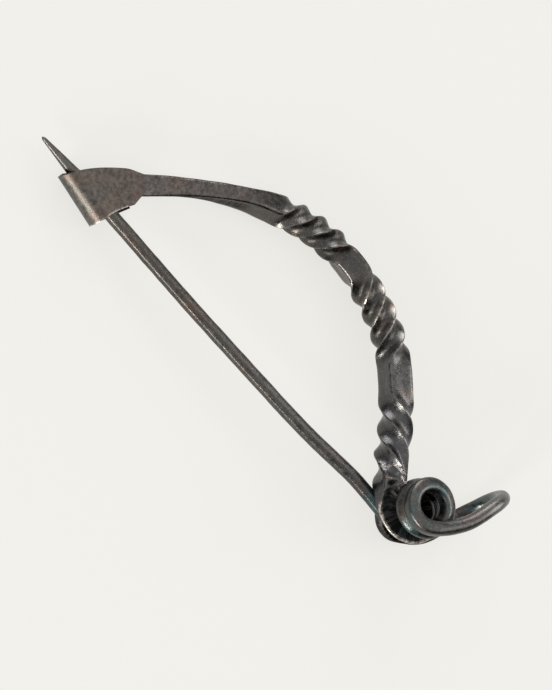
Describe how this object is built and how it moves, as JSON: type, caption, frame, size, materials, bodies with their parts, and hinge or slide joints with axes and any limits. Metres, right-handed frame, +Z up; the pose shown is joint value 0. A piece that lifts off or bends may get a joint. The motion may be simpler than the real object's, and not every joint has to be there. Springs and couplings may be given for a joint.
{
  "type": "fibula brooch",
  "caption": "One-piece forged iron brooch with a twisted arched bow, a coiled spring with a loop, a long sprung pin and a rolled catch.",
  "frame": {"origin": "centre of the bounding box's underside, on the surface that the brooch lies on", "axes": "+X along the pin from the point towards the spring, +Y from the pin towards the top of the bow, +Z up, away from the surface that it lies on"},
  "size_m": [0.1014, 0.0328, 0.0155],
  "materials": {
    "blackened_iron": "forged and blackened, with worn, faintly brown ridges and a satin sheen"
  },
  "bodies": {
    "root": {"fibula": "blackened_iron"}
  },
  "joints": []
}
